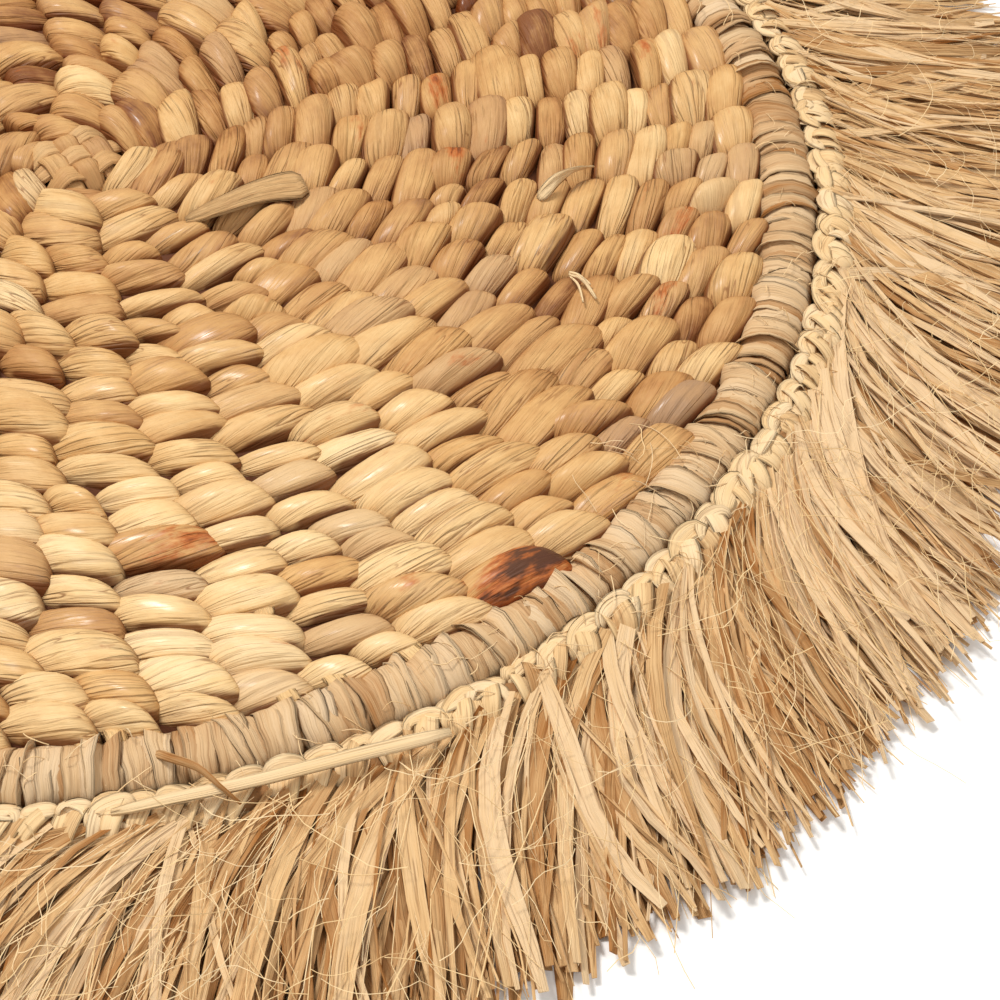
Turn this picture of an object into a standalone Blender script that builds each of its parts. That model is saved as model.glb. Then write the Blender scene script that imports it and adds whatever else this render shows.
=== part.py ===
"""Round placemat of twined water hyacinth with a raffia border and a raffia fringe.

The mat is a flat disc of twined rounds. A raffia-wrapped coil goes round it, and outside the
coil a thinner heading cord carries the knots of a fringe, whose locks droop to the surface and
lie level on it. Metres, +Z up. The origin is the middle of the mat's flat underside.
"""

import math
import random
from collections import namedtuple

import bmesh
import bpy
import numpy as np
from mathutils import Vector

# Twined disc
CENTRE_KNOT_RADIUS = 0.0075
ROUND_PITCH = 0.008
ROUNDS = 20
CREST_HEIGHT = 0.0092
GROOVE_HEIGHT = 0.0066
CENTRE_KNOT_HEIGHT = 0.0080
RIM_HEIGHT = 0.0058
RIM_CHAMFER = 0.0024
DISC_STEPS = 48
DISC_RADIUS = CENTRE_KNOT_RADIUS + ROUNDS * ROUND_PITCH

# Clear space between two pieces that touch on the real mat
SEAT_GAP = 0.0003

# Raffia-wrapped border coil
WRAPS = 190
BORDER_WIDTH = 0.0134
BORDER_THICKNESS = 0.0108
WRAP_RISE = 0.0005
WRAP_SLANT = 0.0030
BORDER_INNER_RADIUS = DISC_RADIUS + SEAT_GAP
BORDER_OUTER_RADIUS = BORDER_INNER_RADIUS + BORDER_WIDTH

# Heading cord with its knots
KNOTS = 186
STATIONS_PER_KNOT = 3
KNOT_RISE = 0.0004
CORD_WIDTH = 0.0080
CORD_THICKNESS = 0.0078
CORD_UNDERSIDE = 0.0006
LOCK_ROOT_TOP = 0.72 * CORD_THICKNESS
LOCK_ROOT_FOOT = 0.25 * CORD_THICKNESS
CORD_INNER_RADIUS = BORDER_OUTER_RADIUS + SEAT_GAP + KNOT_RISE
CORD_OUTER_RADIUS = CORD_INNER_RADIUS + CORD_WIDTH

# Fringe locks, one to a knot
LANDING_RADIUS = 0.219
TIP_RADIUS = 0.2415
TIP_SPREAD = 0.0025
LOCK_SHARE = 0.70
LANDING_THICKNESS = 0.0030
TIP_THICKNESS = 0.0022
FRINGE_SEED = 11

# Lean of the locks from straight out, anticlockwise seen from above, around the mat
Lean = namedtuple("Lean", "azimuth_deg lean_deg")
LEANS = (
    Lean(-150.0, -22.0),
    Lean(-120.0, -38.0),
    Lean(-100.0, -44.0),
    Lean(-90.0, -40.0),
    Lean(-80.0, -30.0),
    Lean(-60.0, -22.0),
    Lean(-40.0, -21.0),
    Lean(-22.0, -27.0),
    Lean(-10.0, -15.0),
    Lean(0.0, -8.0),
    Lean(30.0, -7.0),
    Lean(90.0, 3.0),
    Lean(150.0, -6.0),
)

MERGE = 0.00001

Finish = namedtuple("Finish", "color roughness")
TWINED_HYACINTH = Finish((0.62, 0.40, 0.19, 1.0), 0.45)
WRAPPED_RAFFIA = Finish((0.52, 0.40, 0.24, 1.0), 0.70)
FRINGE_RAFFIA = Finish((0.68, 0.50, 0.29, 1.0), 0.75)


def clear_objects():
    """Remove every object that the scene starts with."""
    for old in list(bpy.data.objects):
        bpy.data.objects.remove(old, do_unlink=True)


def new_collection(name):
    """Return a new collection in the scene."""
    group = bpy.data.collections.new(name)
    bpy.context.scene.collection.children.link(group)
    return group


def material(name, finish):
    """Return a Principled material with the given finish."""
    made = bpy.data.materials.new(name)
    made.use_nodes = True
    shader = made.node_tree.nodes["Principled BSDF"]
    shader.inputs["Base Color"].default_value = finish.color
    shader.inputs["Roughness"].default_value = finish.roughness
    shader.inputs["Metallic"].default_value = 0.0
    return made


def turned(name, profile, steps, is_ring, group):
    """Turn a profile of (radius, height) points about Z, a closed one for a ring."""
    outline = bmesh.new()
    points = [outline.verts.new((radius, 0.0, height)) for radius, height in profile]
    for start, end in zip(points, points[1:]):
        outline.edges.new((start, end))
    if is_ring:
        outline.edges.new((points[-1], points[0]))
    mesh = bpy.data.meshes.new(name)
    outline.to_mesh(mesh)
    outline.free()
    made = bpy.data.objects.new(name, mesh)
    group.objects.link(made)
    screw = made.modifiers.new("Turn", "SCREW")
    screw.steps = steps
    screw.render_steps = steps
    screw.use_merge_vertices = True
    screw.merge_threshold = MERGE
    screw.use_smooth_shade = True
    return made


def apply_modifiers(made):
    """Give an object the mesh that its modifiers make."""
    depsgraph = bpy.context.evaluated_depsgraph_get()
    outline = made.data
    made.data = bpy.data.meshes.new_from_object(made.evaluated_get(depsgraph))
    made.data.name = made.name
    made.modifiers.clear()
    bpy.data.meshes.remove(outline)


def disc_profile():
    """Return the disc's half section, from the middle of its top to the middle below."""
    profile = [(0.0, CENTRE_KNOT_HEIGHT), (CENTRE_KNOT_RADIUS, GROOVE_HEIGHT)]
    for count in range(ROUNDS):
        inner = CENTRE_KNOT_RADIUS + count * ROUND_PITCH
        outer_height = GROOVE_HEIGHT if count < ROUNDS - 1 else RIM_HEIGHT
        profile.append((inner + ROUND_PITCH / 2, CREST_HEIGHT))
        profile.append((inner + ROUND_PITCH, outer_height))
    profile.append((DISC_RADIUS, RIM_CHAMFER))
    profile.append((DISC_RADIUS - RIM_CHAMFER, 0.0))
    profile.append((0.0, 0.0))
    return profile


def make_disc(group):
    """Make the twined disc, whose rounds stand up as ribs on its top."""
    disc = turned("woven_disc", disc_profile(), DISC_STEPS, False, group)
    disc.data.materials.append(material("twined_hyacinth", TWINED_HYACINTH))
    return disc


def border_profile():
    """Return the border coil's section with flat sides above and below."""
    middle = BORDER_INNER_RADIUS + BORDER_WIDTH / 2
    side = BORDER_WIDTH / 2 - WRAP_RISE
    flat = BORDER_WIDTH / 4
    return [
        (middle + flat, BORDER_THICKNESS - WRAP_RISE),
        (middle + side, BORDER_THICKNESS / 2),
        (middle + flat, 0.0),
        (middle - flat, 0.0),
        (middle - side, BORDER_THICKNESS / 2),
        (middle - flat, BORDER_THICKNESS - WRAP_RISE),
    ]


def raise_wraps(mesh):
    """Raise every other station of the coil as a wrap, slanted from inside to outside."""
    middle_radius = BORDER_INNER_RADIUS + BORDER_WIDTH / 2
    middle_height = BORDER_THICKNESS / 2
    for vertex in mesh.vertices:
        out = Vector((vertex.co.x, vertex.co.y, 0.0))
        radius = out.length
        station = round(math.atan2(out.y, out.x) / math.tau * 2 * WRAPS)
        out.normalize()
        along = Vector((-out.y, out.x, 0.0))
        offset = Vector((radius - middle_radius, vertex.co.z - middle_height))
        if station % 2 == 0 and vertex.co.z > 0.0:
            raised = offset.normalized() * WRAP_RISE
            vertex.co += out * raised.x
            vertex.co.z += raised.y
        vertex.co += along * (WRAP_SLANT * offset.x / BORDER_WIDTH)


def make_border(group):
    """Make the raffia-wrapped coil round the disc."""
    border = turned("border_coil", border_profile(), 2 * WRAPS, True, group)
    apply_modifiers(border)
    raise_wraps(border.data)
    border.data.materials.append(material("wrapped_raffia", WRAPPED_RAFFIA))
    return border


def cord_profile():
    """Return the heading cord's section, its outer side upright."""
    middle = CORD_INNER_RADIUS + CORD_WIDTH / 2
    top = CORD_UNDERSIDE + CORD_THICKNESS
    return [
        (middle, top),
        (CORD_OUTER_RADIUS, CORD_UNDERSIDE + LOCK_ROOT_TOP),
        (CORD_OUTER_RADIUS, CORD_UNDERSIDE + LOCK_ROOT_FOOT),
        (middle, CORD_UNDERSIDE),
        (CORD_INNER_RADIUS, CORD_UNDERSIDE + CORD_THICKNESS / 2),
    ]


def raise_knots(mesh):
    """Swell the cord at each knot and draw it in between two knots."""
    middle_radius = CORD_INNER_RADIUS + CORD_WIDTH / 2
    middle_height = CORD_UNDERSIDE + CORD_THICKNESS / 2
    stations = KNOTS * STATIONS_PER_KNOT
    for vertex in mesh.vertices:
        out = Vector((vertex.co.x, vertex.co.y, 0.0))
        station = round(math.atan2(out.y, out.x) / math.tau * stations)
        is_between = station % STATIONS_PER_KNOT == STATIONS_PER_KNOT - 1
        swell = -KNOT_RISE if is_between else KNOT_RISE
        offset = Vector((out.length - middle_radius, vertex.co.z - middle_height))
        offset = offset.normalized() * swell
        vertex.co += out.normalized() * offset.x
        vertex.co.z += offset.y


def lean_at(azimuth):
    """Return the fringe's lean in radians at an azimuth in radians."""
    azimuths = [row.azimuth_deg for row in LEANS]
    leans = [row.lean_deg for row in LEANS]
    return math.radians(np.interp(math.degrees(azimuth), azimuths, leans, period=360.0))


def lock_sections(azimuth, tip_radius):
    """Yield a lock's middle, side vector and half height where it lands and at its tip."""
    lean = lean_at(azimuth)
    heading = azimuth + lean
    ahead = Vector((math.cos(heading), math.sin(heading), 0.0))
    side = Vector((-ahead.y, ahead.x, 0.0))
    root = Vector((math.cos(azimuth), math.sin(azimuth), 0.0)) * CORD_OUTER_RADIUS
    miss = CORD_OUTER_RADIUS * math.sin(lean)
    start = CORD_OUTER_RADIUS * math.cos(lean)
    stops = ((LANDING_RADIUS, LANDING_THICKNESS), (tip_radius, TIP_THICKNESS))
    for radius, thickness in stops:
        run = math.sqrt(radius**2 - miss**2)
        room = math.tau * run / KNOTS
        middle = root + ahead * (run - start)
        middle.z = thickness / 2
        yield middle, side * (LOCK_SHARE * room / 2), thickness / 2


def grow_locks(mesh):
    """Extrude the face on each knot's outer side into a lock of the fringe."""
    shape = bmesh.new()
    shape.from_mesh(mesh)
    spread = random.Random(FRINGE_SEED)
    outer_side = CORD_OUTER_RADIUS - CORD_WIDTH / 4
    roots = []
    for face in shape.faces:
        middle = face.calc_center_median()
        azimuth = math.atan2(middle.y, middle.x)
        count = math.floor(azimuth / math.tau * KNOTS * STATIONS_PER_KNOT)
        reaches = [corner.co.to_2d().length for corner in face.verts]
        if min(reaches) > outer_side and count % STATIONS_PER_KNOT == 0:
            roots.append((azimuth, face))
    for azimuth, face in sorted(roots, key=lambda root: root[0]):
        tip_radius = TIP_RADIUS + spread.uniform(-TIP_SPREAD, TIP_SPREAD)
        tangent = Vector((-math.sin(azimuth), math.cos(azimuth), 0.0))
        for middle, half_side, half_height in lock_sections(azimuth, tip_radius):
            centre = face.calc_center_median()
            face = bmesh.ops.extrude_discrete_faces(shape, faces=[face])["faces"][0]
            for corner in face.verts:
                offset = corner.co - centre
                across = math.copysign(1.0, offset.dot(tangent))
                above = math.copysign(1.0, offset.z)
                corner.co = middle + half_side * across
                corner.co.z += half_height * above
    shape.to_mesh(mesh)
    shape.free()


def make_fringe(group):
    """Make the heading cord with its knots and the locks that grow from it."""
    fringe = turned("fringe", cord_profile(), KNOTS * STATIONS_PER_KNOT, True, group)
    apply_modifiers(fringe)
    raise_knots(fringe.data)
    grow_locks(fringe.data)
    fringe.data.materials.append(material("fringe_raffia", FRINGE_RAFFIA))
    return fringe


def main():
    """Make the placemat."""
    clear_objects()
    group = new_collection("water_hyacinth_placemat")
    make_disc(group)
    make_border(group)
    make_fringe(group)


main()
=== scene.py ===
"""A round placemat twined from water hyacinth, with a raffia-wrapped border and a raffia fringe.

The file is laid out as an add-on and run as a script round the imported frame. Every size is in
metres in the frame's own axes: the mat lies on the floor with its middle at the origin.
"""
import math
from collections import namedtuple

import bmesh
import bpy
import numpy as np
from bpy.props import FloatProperty, FloatVectorProperty, IntProperty, PointerProperty
from bpy.types import Operator, Panel, PropertyGroup
from mathutils import Matrix, Vector


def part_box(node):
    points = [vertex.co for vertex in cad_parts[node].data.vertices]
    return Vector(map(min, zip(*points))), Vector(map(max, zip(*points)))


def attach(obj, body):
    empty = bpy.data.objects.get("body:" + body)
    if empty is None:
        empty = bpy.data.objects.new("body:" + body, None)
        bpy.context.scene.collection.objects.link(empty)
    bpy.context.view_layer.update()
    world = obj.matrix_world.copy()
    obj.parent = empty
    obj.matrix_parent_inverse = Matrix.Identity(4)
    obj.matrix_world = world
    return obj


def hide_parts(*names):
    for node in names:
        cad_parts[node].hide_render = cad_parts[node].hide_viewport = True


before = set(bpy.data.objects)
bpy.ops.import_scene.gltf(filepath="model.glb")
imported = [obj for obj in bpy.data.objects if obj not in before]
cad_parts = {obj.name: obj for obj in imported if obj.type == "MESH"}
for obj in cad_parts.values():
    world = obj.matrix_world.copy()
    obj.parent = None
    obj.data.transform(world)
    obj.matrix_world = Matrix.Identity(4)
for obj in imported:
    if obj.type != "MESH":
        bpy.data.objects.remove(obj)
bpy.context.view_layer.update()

bl_info = {
    "name": "Water Hyacinth Placemat",
    "version": (1, 0, 0),
    "blender": (4, 5, 0),
    "location": "View3D > Sidebar > Placemat",
    "description": "Models a round placemat of twined water hyacinth with a raffia fringe",
    "category": "Add Mesh",
}

BODY = "root"
MM = 0.001
TURN = math.tau

DISC_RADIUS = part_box("woven_disc")[1].x
BORDER_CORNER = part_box("border_coil")[1]
FRINGE_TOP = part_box("fringe")[1].z

# Heights above the floor: the least that a strand keeps, and the highest of the underside.
CLEARANCE = 0.05 * MM
WRAP_CLEARANCE = 0.1 * MM
UNDERSIDE_TOP = 4.2 * MM

# Half the thickness of the strips, and the share of its width that a hair is thick.
WRAP_THICKNESS = 0.36 * MM
KNOT_THICKNESS = 0.18 * MM
WEAVE_THICKNESS = 0.85 * MM
HAIR_ROUNDNESS = 0.8

# The heading cord: its inner and outer radius, and its underside.
HEADING_INNER, HEADING_OUTER, HEADING_UNDER = 0.1813, 0.1899, 0.0006

# Stitches in each round, from the middle outwards: new spokes are let in as the rounds widen.
STITCHES_IN_ROUND = (6, 8, 12, 15, 18, 22, 26, 30, 32, 36, 38, 42, 44, 50, 54, 56, 58, 62, 66, 68)

# The rounds are made as a few pieces: the first round of each and the one after its last.
TWINED_PIECES = {
    "twined_rounds_inner": (0, 10),
    "twined_rounds_middle": (10, 14),
    "twined_rounds_outer": (14, 17),
    "twined_rounds_rim": (17, 20),
}

# A stitch's cushion form: the share of its length, then half width, crown and edge height in mm.
STITCH_STATIONS = (
    (0.00, 0.0, 4.2, 3.0),
    (0.07, 3.5, 5.6, 3.0),
    (0.25, 4.9, 8.7, 3.2),
    (0.50, 5.6, 10.3, 3.3),
    (0.75, 5.8, 10.7, 3.4),
    (0.93, 4.8, 9.4, 3.3),
    (1.00, 0.0, 6.2, 3.0),
)
USUAL_CROWN = 10.4 * MM

# Stitches that stand out by their colour or plumpness: where they lie and how they look.
Marked = namedtuple("Marked", "azimuth radius tone stain ash plump stretch")
MARKED_STITCHES = tuple(Marked(*mark) for mark in (
    (-63.0, 163.5, 0.60, 1.00, 0.0, 1.40, 1.20),
    (-86.3, 122.5, 0.62, 0.58, 0.0, 1.10, 1.40),
    (-74.0, 139.0, 0.62, 0.13, 0.0, 1.00, 1.15),
    (-93.0, 155.0, 0.52, 0.04, 0.0, 1.30, 1.05),
    (-68.5, 133.0, 0.20, 0.00, 0.5, 1.00, 1.00),
    (-73.5, 115.0, 0.25, 0.00, 0.5, 0.95, 1.00),
    (-34.0, 146.0, 0.70, 0.42, 0.2, 0.95, 1.00),
    (-20.5, 146.0, 0.75, 0.51, 0.2, 0.95, 1.00),
    (-21.0, 137.5, 0.75, 0.30, 0.1, 0.90, 1.00),
    (-12.5, 94.0, 0.75, 0.55, 0.1, 1.15, 1.05),
    (3.8, 94.0, 0.70, 0.47, 0.0, 1.00, 1.00),
    (-28.0, 144.0, 0.34, 0.00, 0.0, 1.35, 1.25),
    (-36.5, 159.0, 0.45, 0.00, 0.0, 1.10, 1.00),
    (-25.4, 166.0, 0.56, 0.09, 0.0, 1.25, 1.00),
    (-7.9, 63.1, 0.62, 0.38, 0.0, 1.10, 1.00),
    (-8.7, 144.0, 0.60, 0.38, 0.0, 0.95, 1.00),
    (4.4, 147.4, 0.60, 0.42, 0.0, 0.95, 1.00),
    (19.8, 59.5, 0.60, 0.42, 0.0, 1.00, 1.00),
    (-52.0, 162.3, 0.60, 0.36, 0.0, 1.05, 1.00),
    (-5.8, 112.1, 0.45, 0.00, 0.0, 1.15, 1.00),
    (60.2, 41.2, 0.60, 0.21, 0.0, 1.00, 1.00),
    (69.8, 25.7, 0.34, 0.00, 0.0, 1.30, 1.00),
))

# The palest parts of the mat: where their middles are, how far they reach and how pale they are.
PALE_PATCHES = ((0.005, -0.140, 0.052, 1.0), (0.150, -0.015, 0.040, 0.35))

# Loose strips: stops of radius, azimuth and height in millimetres and degrees, then the look.
Ribbon = namedtuple("Ribbon", "stops width tone ash twist tilt flare")
LOOSE_LEAVES = (
    Ribbon(((36.0, -51.0, 8.6), (40.5, -42.0, 10.4), (46.0, -32.8, 11.0), (51.5, -27.8, 11.2),
            (57.2, -23.8, 10.2)), 9.8, 0.60, 0.36, 10, 3, 0.6),
    Ribbon(((113.5, -20.4, 9.6), (116.0, -19.1, 12.0), (118.3, -17.8, 12.6), (121.8, -16.2, 12.2),
            (126.0, -14.4, 10.0)), 3.2, 0.10, 0.3, 150, 0, 0.0),
    Ribbon(((125.4, -31.6, 10.2), (128.0, -32.4, 11.8), (131.5, -33.0, 11.0)), 0.7, 0, 0.1, 60, 0, 0),
    Ribbon(((125.6, -31.9, 10.2), (129.4, -33.0, 12.0), (134.0, -34.4, 10.4)), 0.9, 0, 0.1, 60, 0, 0),
    Ribbon(((126.0, -32.2, 10.2), (129.0, -33.8, 11.8), (131.6, -35.4, 10.4)), 0.6, 0, 0.1, 60, 0, 0),
)
LOOSE_RAFFIA = (
    Ribbon(((185.4, -94.5, 9.4), (185.7, -91.2, 11.4), (186.0, -87.6, 12.0), (186.6, -82.6, 12.2),
            (187.9, -78.7, 12.2), (189.8, -74.4, 11.0)), 3.0, 0.14, 0.0, 20, 6, 0.2),
    Ribbon(((174.6, -91.6, 10.6), (177.5, -90.7, 12.6), (182.0, -89.2, 14.6), (186.6, -88.1, 13.4),
            (189.4, -87.2, 10.6)), 1.8, 0.66, 0.0, 80, 20, 0.0),
)

# Stubs of leaf that poke out between stitches: where they are, and their stops from there.
STUBS = (
    (166.1, -96.2), (168.8, -94.0), (167.0, -82.5), (167.4, -79.0), (168.2, -73.5), (142.2, -81.9),
)
STUB_STOPS = ((-5.0, -0.3, 6.0), (-1.5, 0.0, 8.0), (2.0, 0.2, 8.4), (5.5, 0.3, 7.6))

# The fringe's lean at azimuths round the mat, in degrees; below zero it leans clockwise.
LEANS = (
    (-150, -25), (-120, -36), (-100, -42), (-92, -43), (-85, -42), (-78, -30), (-70, -33),
    (-60, -37), (-50, -34), (-43, -33), (-36, -42), (-29, -50), (-23, -40), (-16, -30), (-8, -23),
    (0, -18), (30, -12), (90, -4), (150, -12),
)

# Darker and paler stretches of the fringe: azimuth in degrees, then the shade added.
FRINGE_SHADES = (
    (-97, 0.16), (-90, 0.07), (-82, 0.22), (-75, 0.14), (-66, 0.08), (-57, 0.02), (-53, 0.10),
    (-49, 0.17), (-45, -0.04), (-41, -0.20), (-35, -0.22), (-27, -0.13), (-18, -0.20),
    (-8, -0.14), (4, -0.08), (30, -0.10),
)

# The height of the border and the heading below loose fibres, in mm at radii in metres.
BORDER_TOPS = ((0.160, 10.4), (0.170, 10.4), (0.175, 11.0), (0.181, 8.6), (0.186, 9.4), (0.191, 8.6))

# Where the studio camera stands, and its axes.
CAMERA_PLACE = (0.0, -0.38455, 0.33891)
CAMERA_AXES = ((0.9696, -0.2428, 0.0305), (0.1701, 0.7584, 0.6292), (-0.1759, -0.6049, 0.7766))
CAMERA_LENS = 72.13
FLOOR_SIZE = 6


def linear(red, green, blue):
    """Turn a display colour of 0 to 255 into the linear colour that a shader takes."""
    shares = np.array((red, green, blue)) / 255
    return tuple(np.where(shares <= 0.04045, shares / 12.92, ((shares + 0.055) / 1.055) ** 2.4))


def length(name, default, description):
    """Return a length property in metres."""
    return FloatProperty(name=name, description=description, default=default, min=0, unit="LENGTH",
                         precision=5)


def whole(name, default, least, most, description):
    """Return a whole-number property."""
    return IntProperty(name=name, description=description, default=default, min=least, max=most)


def tint(name, default, description):
    """Return a colour property from a display colour."""
    return FloatVectorProperty(name=name, description=description, default=linear(*default),
                               subtype="COLOR", size=3, min=0, max=1)


class TwiningSettings(PropertyGroup):
    """Sizes of the twined rounds."""
    first_round: length("First round", 0.0115, "Radius of the middle of the first round")
    round_pitch: length("Round pitch", 0.0080, "Distance from one round to the next")
    stitch_plump: FloatProperty(name="Plumpness", default=1.0, min=0.5, max=1.5,
                                description="Share of the usual width and height of a stitch")
    overlap: FloatProperty(name="Overlap", default=0.34, min=0, max=0.8, subtype="FACTOR",
                           description="Share of its length by which a stitch passes its spokes")
    swing: length("Swing", 0.0017, "How far a stitch runs outward from its middle line")


class BorderSettings(PropertyGroup):
    """Sizes of the wrapped border coil and of the heading cord."""
    wraps: whole("Wraps", 190, 20, 400, "Bunches round the border")
    strips: whole("Strips", 3, 1, 6, "Strips in a wrap")
    fuzz: whole("Fuzz", 620, 1, 3000, "Short frayed fibres")
    knots: whole("Knots", 180, 20, 400, "Knots on the heading cord")
    strip_width: length("Strip width", 0.0060, "Width of one strip of a wrap")
    loop_width: length("Loop width", 0.0056, "Width of a knot's loop, between its strands' middles")


class FringeSettings(PropertyGroup):
    """Sizes of the fringe."""
    blades: whole("Blades", 25, 4, 25, "Blades in a knot")
    hairs: whole("Hairs", 1500, 1, 4000, "Fine hairs in all")
    curls: whole("Curls", 1300, 1, 4000, "Loose curly hairs")
    blade_width: length("Blade width", 0.0024, "Usual width of a blade")
    reach: length("Reach", 0.2410, "Radius that the tips reach")
    longer: length("Longer by", 0.0100, "How much longer the fringe is on its long side")


class ColourSettings(PropertyGroup):
    """Colours of the fibres."""
    leaf_pale: tint("Pale leaf", (242, 212, 164), "Palest water hyacinth")
    leaf_light: tint("Light leaf", (232, 195, 139), "Usual water hyacinth")
    leaf_gold: tint("Golden leaf", (211, 165, 106), "Golden water hyacinth")
    leaf_tan: tint("Tan leaf", (183, 131, 77), "Darker water hyacinth")
    leaf_brown: tint("Brown leaf", (118, 62, 22), "Brown water hyacinth")
    stain: tint("Stain", (182, 94, 38), "Reddish stains")
    stain_dark: tint("Dark stain", (66, 24, 20), "Darkest stains")
    leaf_ash: tint("Ash leaf", (192, 155, 115), "Greyish water hyacinth")
    wrap: tint("Border wrap", (213, 178, 134), "Raffia round the border")
    cream: tint("Heading knots", (230, 195, 144), "Raffia of the knots")
    straw: tint("Fringe", (217, 178, 127), "Raffia of the fringe")
    straw_dark: tint("Fringe shade", (161, 106, 54), "Darker raffia in the fringe")
    hair: tint("Fine hairs", (238, 205, 152), "Fine hairs of the fringe")
    floor: tint("Floor", (250, 249, 247), "Studio floor")


class Number:
    """One socket of a material's nodes, on which arithmetic adds Math nodes."""

    def __init__(self, finish, socket):
        self.finish = finish
        self.socket = socket

    def _math(self, operation, *values, clamp=False):
        settings = {"operation": operation, "use_clamp": clamp}
        made = self.finish.node("ShaderNodeMath", settings, dict(enumerate(values)))
        return Number(self.finish, made.outputs[0])

    def __add__(self, other):
        return self._math("ADD", self, other)

    __radd__ = __add__

    def __sub__(self, other):
        return self._math("SUBTRACT", self, other)

    def __rsub__(self, other):
        return self._math("SUBTRACT", other, self)

    def __mul__(self, other):
        return self._math("MULTIPLY", self, other)

    __rmul__ = __mul__

    def __abs__(self):
        return self._math("ABSOLUTE", self)

    def clamped(self):
        """Keep the value between 0 and 1."""
        return self._math("ADD", self, 0.0, clamp=True)


class Finish:
    """A procedural material and the nodes that it is made of."""

    def __init__(self, name):
        self.material = bpy.data.materials.new(name)
        self.material.use_nodes = True
        self.tree = self.material.node_tree
        self.tree.nodes.clear()

    def node(self, kind, settings=None, sockets=None):
        """Add a node, give it its settings, and fill or join its sockets."""
        made = self.tree.nodes.new(kind)
        for name, value in (settings or {}).items():
            if name == "stops":
                self._fill_ramp(made.color_ramp, value)
            else:
                setattr(made, name, value)
        for key, value in (sockets or {}).items():
            if isinstance(value, Number):
                self.tree.links.new(value.socket, made.inputs[key])
            else:
                made.inputs[key].default_value = value
        return made

    @staticmethod
    def _fill_ramp(ramp, stops):
        while len(ramp.elements) < len(stops):
            ramp.elements.new(1.0)
        for element, (place, colour) in zip(ramp.elements, stops):
            element.position = place
            element.color = (*colour, 1.0)

    def out(self, made, key=0):
        """Return one output of a node."""
        return Number(self, made.outputs[key])

    def attribute(self, name, key="Fac"):
        """Read one of the piece's own attributes."""
        settings = {"attribute_type": "GEOMETRY", "attribute_name": name}
        return self.out(self.node("ShaderNodeAttribute", settings), key)

    def place(self):
        """Read the place on the piece."""
        return self.out(self.node("ShaderNodeTexCoord"), "Object")

    def noise(self, vector, scale, detail=2.0, roughness=0.5):
        """Return a noise of 0 to 1; three scales draw it out along the parts of the vector."""
        if isinstance(scale, tuple):
            sockets = {0: vector, 1: scale}
            vector = self.out(self.node("ShaderNodeVectorMath", {"operation": "MULTIPLY"}, sockets))
            scale = 1.0
        sockets = {"Vector": vector, "Scale": scale, "Detail": detail, "Roughness": roughness}
        return self.out(self.node("ShaderNodeTexNoise", None, sockets))

    def step(self, value, start, end):
        """Rise smoothly from 0 at start to 1 at end."""
        settings = {"interpolation_type": "SMOOTHSTEP"}
        sockets = {"Value": value, "From Min": start, "From Max": end}
        return self.out(self.node("ShaderNodeMapRange", settings, sockets))

    def ramp(self, value, stops):
        """Return the colour of a ramp at a value."""
        return self.out(self.node("ShaderNodeValToRGB", {"stops": stops}, {0: value}))

    def mix(self, first, second, share):
        """Blend two colours."""
        settings = {"data_type": "RGBA", "blend_type": "MIX"}
        first, second = (
            value if isinstance(value, Number) else (*value, 1.0) for value in (first, second)
        )
        return self.out(self.node("ShaderNodeMix", settings, {0: share, 6: first, 7: second}), 2)

    def bump(self, height, distance, strength=1.0):
        """Turn a height into a normal."""
        sockets = {"Height": height, "Distance": distance, "Strength": strength}
        return self.out(self.node("ShaderNodeBump", None, sockets))

    def surface(self, sockets):
        """Finish the material with a surface shader."""
        shader = self.node("ShaderNodeBsdfPrincipled", None, sockets)
        self.node("ShaderNodeOutputMaterial", None, {"Surface": self.out(shader)})
        return self.material


def shaded(colour, factors):
    """Return a colour with its parts scaled."""
    return tuple(Vector(colour) * Vector(factors))


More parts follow.
